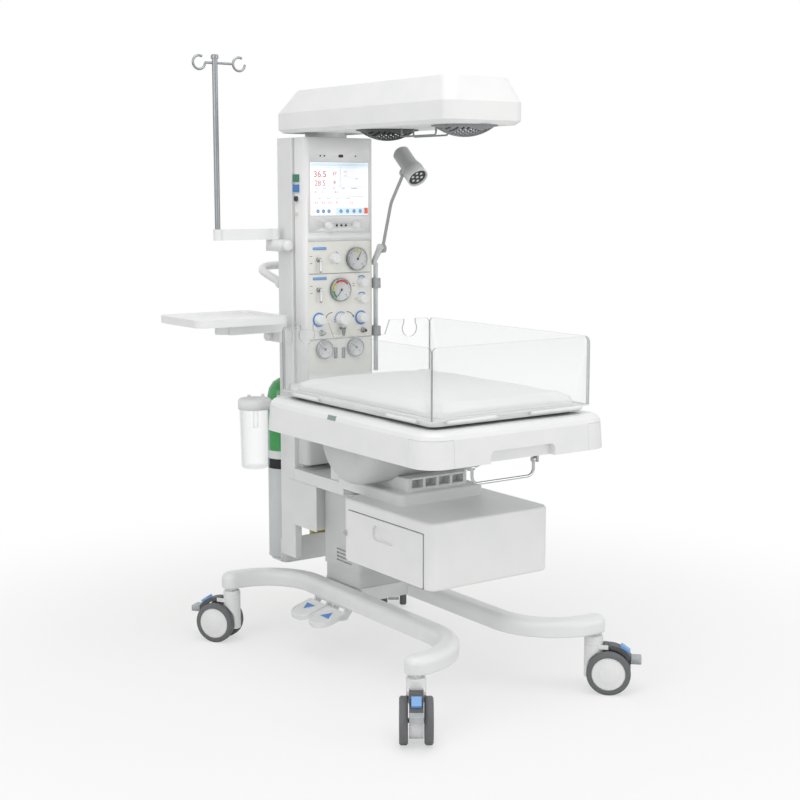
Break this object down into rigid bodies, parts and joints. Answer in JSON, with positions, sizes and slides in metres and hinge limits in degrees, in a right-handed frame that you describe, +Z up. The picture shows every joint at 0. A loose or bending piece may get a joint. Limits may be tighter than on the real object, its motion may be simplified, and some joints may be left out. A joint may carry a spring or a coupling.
{
  "type": "infant radiant warmer",
  "caption": "Infant radiant warmer on casters: tilting bassinet with clear fold-down panels, rising column with gas panel and screen, swivel heater hood, drawer, shelf, exam lamp, IV pole.",
  "frame": {"origin": "floor level, at the middle of the machine's box", "axes": "+X to the right seen from the foot end, -Y towards the foot end, +Z up"},
  "size_m": [0.887, 1.258, 1.741],
  "materials": {
    "painted_steel": "satin",
    "dark_frame": "satin",
    "caster_plastic": "matt",
    "tyre": "matt",
    "brake_plastic": "matt",
    "pedal_plastic": "matt",
    "white_shell": "satin",
    "column_paint": "satin",
    "screen": "gloss",
    "cream_panel": "satin",
    "gauge_face": "gloss",
    "fittings": "satin",
    "knob_plastic": "satin",
    "bright_metal": "polished",
    "lamp_guard": "satin",
    "mattress_cover": "soft",
    "acrylic": "clear",
    "cylinder_paint": "gloss",
    "jar_plastic": "gloss",
    "clamp_plastic": "matt",
    "lamp_metal": "satin",
    "shelf_plastic": "satin"
  },
  "bodies": {
    "base": {"base_legs": "painted_steel", "base_frame": "dark_frame", "lift_outer_tube": "painted_steel"},
    "fork_front_left": {"caster_fork_front_left": "caster_plastic"},
    "wheels_front_left": {"caster_wheels_front_left": "tyre"},
    "brake_front_left": {"caster_brake_front_left": "brake_plastic"},
    "fork_front_right": {"caster_fork_front_right": "caster_plastic"},
    "wheels_front_right": {"caster_wheels_front_right": "tyre"},
    "brake_front_right": {"caster_brake_front_right": "brake_plastic"},
    "fork_back_left": {"caster_fork_back_left": "caster_plastic"},
    "wheels_back_left": {"caster_wheels_back_left": "tyre"},
    "brake_back_left": {"caster_brake_back_left": "brake_plastic"},
    "fork_back_right": {"caster_fork_back_right": "caster_plastic"},
    "wheels_back_right": {"caster_wheels_back_right": "tyre"},
    "brake_back_right": {"caster_brake_back_right": "brake_plastic"},
    "pedal_down": {"foot_pedal_down": "pedal_plastic"},
    "pedal_up": {"foot_pedal_up": "pedal_plastic"},
    "carriage": {"lift_sleeve": "painted_steel", "saddle_frame": "painted_steel", "storage_cabinet": "white_shell", "column_posts": "column_paint", "control_housing": "white_shell", "display_screen": "screen", "gas_panel": "cream_panel", "gauges": "gauge_face", "panel_fittings": "fittings", "push_handle": "painted_steel", "gas_cylinders": "cylinder_paint", "suction_unit": "jar_plastic", "rail_clamps": "clamp_plastic"},
    "knob_suction": {"knob_suction": "knob_plastic"},
    "knob_flow_upper": {"knob_flow_upper": "knob_plastic"},
    "knob_flow_lower": {"knob_flow_lower": "knob_plastic"},
    "knob_air": {"knob_air": "knob_plastic"},
    "knob_mixer": {"knob_mixer": "knob_plastic"},
    "knob_oxygen": {"knob_oxygen": "knob_plastic"},
    "knob_display_left": {"knob_display_left": "knob_plastic"},
    "knob_display_right": {"knob_display_right": "knob_plastic"},
    "toggle_upper": {"toggle_upper": "bright_metal"},
    "toggle_lower": {"toggle_lower": "bright_metal"},
    "hood": {"hood_shell": "white_shell", "hood_tray": "white_shell", "lamp_grilles": "lamp_guard"},
    "bed": {"bed_skirt": "white_shell", "tilt_bowl": "white_shell", "bed_deck": "white_shell", "mattress": "mattress_cover"},
    "panel_left": {"panel_left": "acrylic"},
    "panel_right": {"panel_right": "acrylic"},
    "panel_front": {"panel_front": "acrylic"},
    "panel_back": {"panel_back": "acrylic"},
    "bail": {"bail": "bright_metal"},
    "drawer": {"drawer": "white_shell"},
    "drawer_lock": {"drawer_lock": "bright_metal"},
    "iv_arm": {"iv_arm": "painted_steel", "iv_pole": "bright_metal"},
    "shelf_clamp": {"shelf_clamp": "painted_steel"},
    "shelf": {"shelf_tray": "shelf_plastic"},
    "lamp_arm": {"lamp_arm": "lamp_metal"},
    "lamp_head": {"lamp_head": "lamp_metal"}
  },
  "joints": [
    {"name": "swivel_front_left", "type": "hinge", "parent": "base", "child": "fork_front_left", "pos_m": [-0.26047, -0.51254, 0.157], "axis": [0, 0, 1], "continuous": true},
    {"name": "roll_front_left", "type": "hinge", "parent": "fork_front_left", "child": "wheels_front_left", "pos_m": [-0.28462, -0.5469, 0.06], "axis": [0.8181, -0.575, 0], "continuous": true},
    {"name": "brake_front_left_press", "type": "hinge", "parent": "fork_front_left", "child": "brake_front_left", "pos_m": [-0.28002, -0.54036, 0.128], "axis": [0.8181, -0.575, 0], "range_deg": [0, 10]},
    {"name": "swivel_front_right", "type": "hinge", "parent": "base", "child": "fork_front_right", "pos_m": [0.33753, -0.51254, 0.157], "axis": [0, 0, 1], "continuous": true},
    {"name": "roll_front_right", "type": "hinge", "parent": "fork_front_right", "child": "wheels_front_right", "pos_m": [0.36784, -0.54161, 0.06], "axis": [0.6921, 0.7218, 0], "continuous": true},
    {"name": "brake_front_right_press", "type": "hinge", "parent": "fork_front_right", "child": "brake_front_right", "pos_m": [0.36207, -0.53607, 0.128], "axis": [0.6921, 0.7218, 0], "range_deg": [0, 10]},
    {"name": "swivel_back_left", "type": "hinge", "parent": "base", "child": "fork_back_left", "pos_m": [-0.26047, 0.44546, 0.157], "axis": [0, 0, 1], "continuous": true},
    {"name": "roll_back_left", "type": "hinge", "parent": "fork_back_left", "child": "wheels_back_left", "pos_m": [-0.28408, 0.4802, 0.06], "axis": [-0.8271, -0.5621, 0], "continuous": true},
    {"name": "brake_back_left_press", "type": "hinge", "parent": "fork_back_left", "child": "brake_back_left", "pos_m": [-0.27958, 0.47358, 0.128], "axis": [-0.8271, -0.5621, 0], "range_deg": [0, 10]},
    {"name": "swivel_back_right", "type": "hinge", "parent": "base", "child": "fork_back_right", "pos_m": [0.33753, 0.44546, 0.157], "axis": [0, 0, 1], "continuous": true},
    {"name": "roll_back_right", "type": "hinge", "parent": "fork_back_right", "child": "wheels_back_right", "pos_m": [0.36168, 0.47982, 0.06], "axis": [-0.8181, 0.575, 0], "continuous": true},
    {"name": "brake_back_right_press", "type": "hinge", "parent": "fork_back_right", "child": "brake_back_right", "pos_m": [0.35708, 0.47328, 0.128], "axis": [-0.8181, 0.575, 0], "range_deg": [0, 10]},
    {"name": "pedal_down_press", "type": "hinge", "parent": "base", "child": "pedal_down", "pos_m": [-0.11347, 0.19446, 0.139], "axis": [0, -1, 0], "range_deg": [0, 12], "stiffness_Nm_per_rad": 2, "springref_deg": -8.59},
    {"name": "pedal_up_press", "type": "hinge", "parent": "base", "child": "pedal_up", "pos_m": [-0.11347, 0.09646, 0.139], "axis": [0, -1, 0], "range_deg": [0, 12], "stiffness_Nm_per_rad": 2, "springref_deg": -8.59},
    {"name": "bed_lift", "type": "slide", "parent": "base", "child": "carriage", "axis": [0, 0, 1], "range_m": [0, 0.2]},
    {"name": "knob_suction_turn", "type": "hinge", "parent": "carriage", "child": "knob_suction", "pos_m": [0.01753, 0.29346, 1.16], "axis": [0, -1, 0], "range_deg": [0, 300]},
    {"name": "knob_flow_upper_turn", "type": "hinge", "parent": "carriage", "child": "knob_flow_upper", "pos_m": [0.11553, 0.29346, 1.086], "axis": [0, -1, 0], "range_deg": [0, 300]},
    {"name": "knob_flow_lower_turn", "type": "hinge", "parent": "carriage", "child": "knob_flow_lower", "pos_m": [0.11553, 0.29346, 1.036], "axis": [0, -1, 0], "range_deg": [0, 300]},
    {"name": "knob_air_turn", "type": "hinge", "parent": "carriage", "child": "knob_air", "pos_m": [-0.03647, 0.29346, 0.98], "axis": [0, -1, 0], "range_deg": [0, 300]},
    {"name": "knob_mixer_turn", "type": "hinge", "parent": "carriage", "child": "knob_mixer", "pos_m": [0.04053, 0.29346, 0.978], "axis": [0, -1, 0], "range_deg": [0, 300]},
    {"name": "knob_oxygen_turn", "type": "hinge", "parent": "carriage", "child": "knob_oxygen", "pos_m": [0.11253, 0.29346, 0.98], "axis": [0, -1, 0], "range_deg": [0, 300]},
    {"name": "knob_display_left_turn", "type": "hinge", "parent": "carriage", "child": "knob_display_left", "pos_m": [-0.00447, 0.29146, 1.256], "axis": [0, -1, 0], "continuous": true},
    {"name": "knob_display_right_turn", "type": "hinge", "parent": "carriage", "child": "knob_display_right", "pos_m": [0.09353, 0.29146, 1.257], "axis": [0, -1, 0], "continuous": true},
    {"name": "toggle_upper_flip", "type": "hinge", "parent": "carriage", "child": "toggle_upper", "pos_m": [-0.03647, 0.28096, 1.156], "axis": [-1, 0, 0], "range_deg": [0, 90]},
    {"name": "toggle_lower_flip", "type": "hinge", "parent": "carriage", "child": "toggle_lower", "pos_m": [-0.03647, 0.28096, 1.068], "axis": [-1, 0, 0], "range_deg": [0, 90]},
    {"name": "hood_swivel", "type": "hinge", "parent": "carriage", "child": "hood", "pos_m": [0.03853, 0.36646, 1.511], "axis": [0, 0, 1], "range_deg": [-70, 90]},
    {"name": "bed_tilt", "type": "hinge", "parent": "carriage", "child": "bed", "pos_m": [0.03853, -0.07054, 0.696], "axis": [1, 0, 0], "range_deg": [-10, 10]},
    {"name": "panel_left_fold", "type": "hinge", "parent": "bed", "child": "panel_left", "pos_m": [-0.21897, -0.03354, 0.791], "axis": [0, -1, 0], "range_deg": [0, 112]},
    {"name": "panel_right_fold", "type": "hinge", "parent": "bed", "child": "panel_right", "pos_m": [0.29603, -0.03354, 0.791], "axis": [0, 1, 0], "range_deg": [0, 112]},
    {"name": "panel_front_fold", "type": "hinge", "parent": "bed", "child": "panel_front", "pos_m": [0.03853, -0.51454, 0.791], "axis": [1, 0, 0], "range_deg": [0, 112]},
    {"name": "panel_back_lift", "type": "slide", "parent": "bed", "child": "panel_back", "axis": [0, 0, 1], "range_m": [0, 0.1]},
    {"name": "bail_pull", "type": "hinge", "parent": "bed", "child": "bail", "pos_m": [0.03853, -0.48054, 0.661], "axis": [-1, 0, 0], "range_deg": [0, 25]},
    {"name": "drawer_pull", "type": "slide", "parent": "carriage", "child": "drawer", "axis": [-1, 0, 0], "range_m": [0, 0.28]},
    {"name": "drawer_lock_turn", "type": "hinge", "parent": "carriage", "child": "drawer_lock", "pos_m": [-0.16147, -0.04054, 0.418], "axis": [1, 0, 0], "range_deg": [0, 90]},
    {"name": "iv_swing", "type": "hinge", "parent": "carriage", "child": "iv_arm", "pos_m": [-0.10947, 0.41646, 1.214], "axis": [0, 0, 1], "range_deg": [-60, 60]},
    {"name": "shelf_height", "type": "slide", "parent": "carriage", "child": "shelf_clamp", "axis": [0, 0, 1], "range_m": [-0.02, 0.18]},
    {"name": "shelf_swivel", "type": "hinge", "parent": "shelf_clamp", "child": "shelf", "pos_m": [-0.29347, 0.40146, 0.976], "axis": [0, 0, 1], "range_deg": [-120, 120]},
    {"name": "lamp_arm_lean", "type": "hinge", "parent": "carriage", "child": "lamp_arm", "pos_m": [0.17253, 0.26446, 1.186], "axis": [1, 0, 0], "range_deg": [-5, 55]},
    {"name": "lamp_head_tilt", "type": "hinge", "parent": "lamp_arm", "child": "lamp_head", "pos_m": [0.17253, 0.15446, 1.409], "axis": [1, 0, 0], "range_deg": [-30, 40]}
  ]
}
